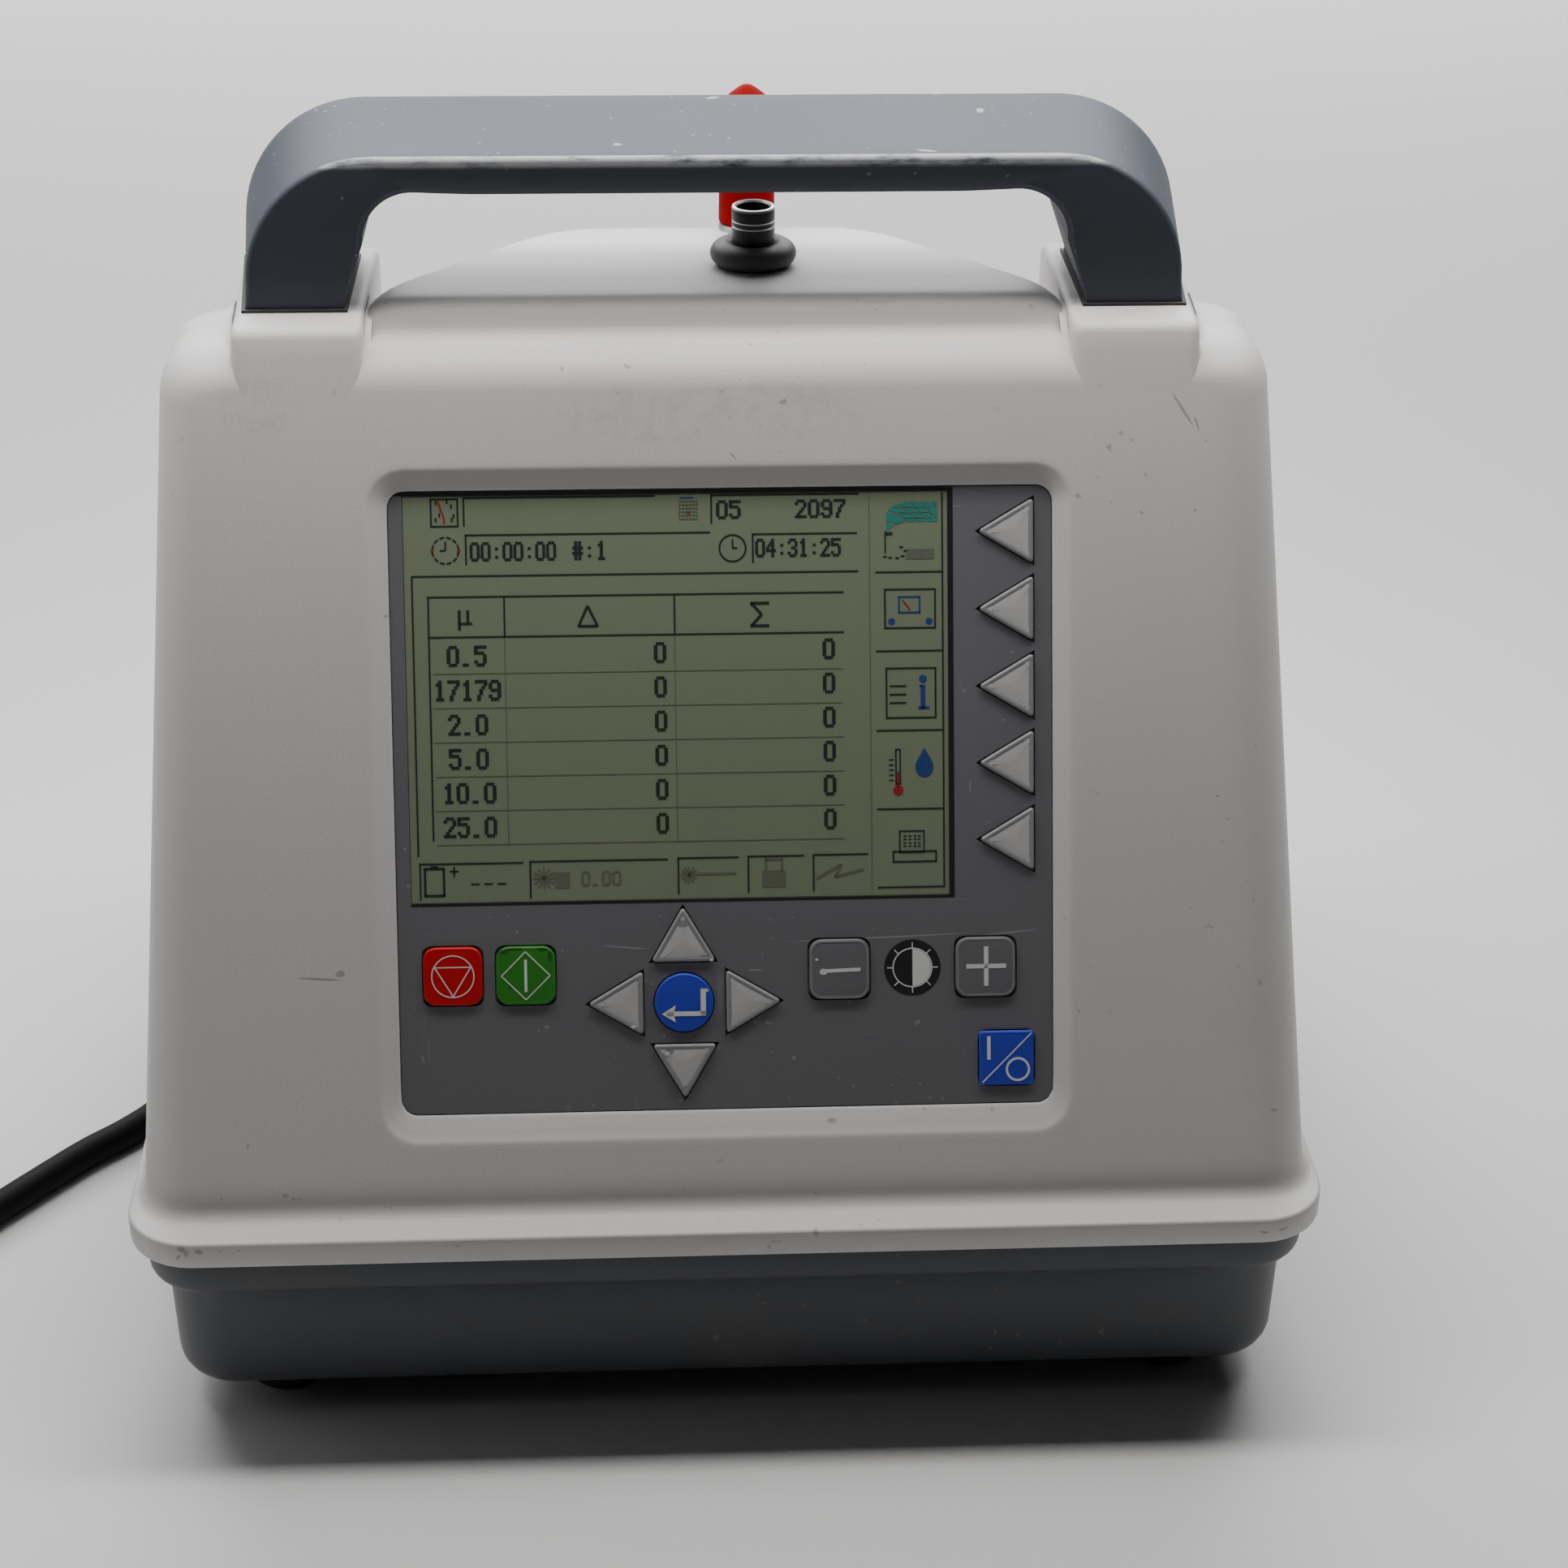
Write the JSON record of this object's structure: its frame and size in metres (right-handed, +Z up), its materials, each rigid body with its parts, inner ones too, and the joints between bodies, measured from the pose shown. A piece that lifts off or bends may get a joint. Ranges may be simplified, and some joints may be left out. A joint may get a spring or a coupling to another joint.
{
  "type": "airborne particle counter",
  "caption": "Portable airborne particle counter: moulded two-shell case with carry handle, display and keypad on a tilted front, sample inlet on top and mains cord.",
  "frame": {"origin": "on the floor under the middle of the case's rim", "axes": "+Z up, the display and keypad face -Y, +X to the right of someone facing them"},
  "size_m": [0.4405, 0.3136, 0.2643],
  "materials": {
    "tray": "fine textured moulding",
    "cover": "fine textured moulding",
    "handle": "fine textured moulding, scuffed front edge",
    "panel": "satin film",
    "display": "clear window over a lit screen",
    "key": "satin",
    "key_face": "satin",
    "key_red": "satin",
    "key_green": "satin",
    "key_blue": "satin",
    "black_rubber": "matt",
    "black_plastic": "satin",
    "black_metal": "satin black",
    "steel": "plain",
    "plate": "brushed",
    "red_plastic": "soft vinyl",
    "cord": "matt",
    "hose": "translucent tube",
    "white_plastic": "plain",
    "battery": "shrink sleeve",
    "board": "solder mask"
  },
  "bodies": {
    "case": {"lower_tray": "tray", "upper_cover": "cover", "seam_gasket": "black_rubber", "foot_front_left": "black_rubber", "foot_front_right": "black_rubber", "foot_rear_left": "black_rubber", "foot_rear_right": "black_rubber", "base_screws": "steel", "carry_handle": "handle", "handle_gasket_left": "black_rubber", "handle_gasket_right": "black_rubber", "handle_screws": "steel", "control_panel": "panel", "display_window": "display", "display_module": "steel", "keypad_board": "board", "panel_carrier": "black_plastic", "inlet_tube": "black_metal", "inlet_grommet": "black_rubber", "rear_port": "steel", "red_cap": "red_plastic", "side_fitting": "steel", "rear_plate": "plate", "mains_socket": "black_plastic", "data_socket": "steel", "exhaust_grille": "black_plastic", "cord_connector": "cord", "power_cord": "cord", "cord_coil": "cord", "wall_plug": "cord", "chassis_plate": "plate", "sensor_block": "plate", "laser_module": "black_metal", "detector_housing": "black_metal", "sample_hose": "hose", "blower_housing": "black_plastic", "suction_hose": "hose", "exhaust_filter": "white_plastic", "battery_pack": "battery", "power_supply": "steel", "main_board": "board", "board_standoffs": "steel"},
    "key_stop": {"key_stop": "key_red"},
    "key_start": {"key_start": "key_green"},
    "key_enter": {"key_enter": "key_blue"},
    "key_up": {"key_up": "key"},
    "key_down": {"key_down": "key"},
    "key_left": {"key_left": "key"},
    "key_right": {"key_right": "key"},
    "key_minus": {"key_minus": "key_face"},
    "key_plus": {"key_plus": "key_face"},
    "key_power": {"key_power": "key_blue"},
    "soft_key_1": {"soft_key_1": "key"},
    "soft_key_2": {"soft_key_2": "key"},
    "soft_key_3": {"soft_key_3": "key"},
    "soft_key_4": {"soft_key_4": "key"},
    "soft_key_5": {"soft_key_5": "key"},
    "rotor": {"blower_rotor": "white_plastic"}
  },
  "joints": [
    {"name": "key_stop_press", "type": "slide", "parent": "case", "child": "key_stop", "axis": [0, 0.9218, -0.3876], "range_m": [0, 0.0004], "stiffness_N_per_m": 400, "springref_m": -0.0005},
    {"name": "key_start_press", "type": "slide", "parent": "case", "child": "key_start", "axis": [0, 0.9218, -0.3876], "range_m": [0, 0.0004], "stiffness_N_per_m": 400, "springref_m": -0.0005},
    {"name": "key_enter_press", "type": "slide", "parent": "case", "child": "key_enter", "axis": [0, 0.9218, -0.3876], "range_m": [0, 0.0004], "stiffness_N_per_m": 400, "springref_m": -0.0005},
    {"name": "key_up_press", "type": "slide", "parent": "case", "child": "key_up", "axis": [0, 0.9218, -0.3876], "range_m": [0, 0.0004], "stiffness_N_per_m": 400, "springref_m": -0.0005},
    {"name": "key_down_press", "type": "slide", "parent": "case", "child": "key_down", "axis": [0, 0.9218, -0.3876], "range_m": [0, 0.0004], "stiffness_N_per_m": 400, "springref_m": -0.0005},
    {"name": "key_left_press", "type": "slide", "parent": "case", "child": "key_left", "axis": [0, 0.9218, -0.3876], "range_m": [0, 0.0004], "stiffness_N_per_m": 400, "springref_m": -0.0005},
    {"name": "key_right_press", "type": "slide", "parent": "case", "child": "key_right", "axis": [0, 0.9218, -0.3876], "range_m": [0, 0.0004], "stiffness_N_per_m": 400, "springref_m": -0.0005},
    {"name": "key_minus_press", "type": "slide", "parent": "case", "child": "key_minus", "axis": [0, 0.9218, -0.3876], "range_m": [0, 0.0004], "stiffness_N_per_m": 400, "springref_m": -0.0005},
    {"name": "key_plus_press", "type": "slide", "parent": "case", "child": "key_plus", "axis": [0, 0.9218, -0.3876], "range_m": [0, 0.0004], "stiffness_N_per_m": 400, "springref_m": -0.0005},
    {"name": "key_power_press", "type": "slide", "parent": "case", "child": "key_power", "axis": [0, 0.9218, -0.3876], "range_m": [0, 0.0004], "stiffness_N_per_m": 400, "springref_m": -0.0005},
    {"name": "soft_key_1_press", "type": "slide", "parent": "case", "child": "soft_key_1", "axis": [0, 0.9218, -0.3876], "range_m": [0, 0.0004], "stiffness_N_per_m": 400, "springref_m": -0.0005},
    {"name": "soft_key_2_press", "type": "slide", "parent": "case", "child": "soft_key_2", "axis": [0, 0.9218, -0.3876], "range_m": [0, 0.0004], "stiffness_N_per_m": 400, "springref_m": -0.0005},
    {"name": "soft_key_3_press", "type": "slide", "parent": "case", "child": "soft_key_3", "axis": [0, 0.9218, -0.3876], "range_m": [0, 0.0004], "stiffness_N_per_m": 400, "springref_m": -0.0005},
    {"name": "soft_key_4_press", "type": "slide", "parent": "case", "child": "soft_key_4", "axis": [0, 0.9218, -0.3876], "range_m": [0, 0.0004], "stiffness_N_per_m": 400, "springref_m": -0.0005},
    {"name": "soft_key_5_press", "type": "slide", "parent": "case", "child": "soft_key_5", "axis": [0, 0.9218, -0.3876], "range_m": [0, 0.0004], "stiffness_N_per_m": 400, "springref_m": -0.0005},
    {"name": "rotor_spin", "type": "hinge", "parent": "case", "child": "rotor", "pos_m": [-0.064, 0.033, 0.036], "axis": [0, 0, 1], "continuous": true}
  ]
}
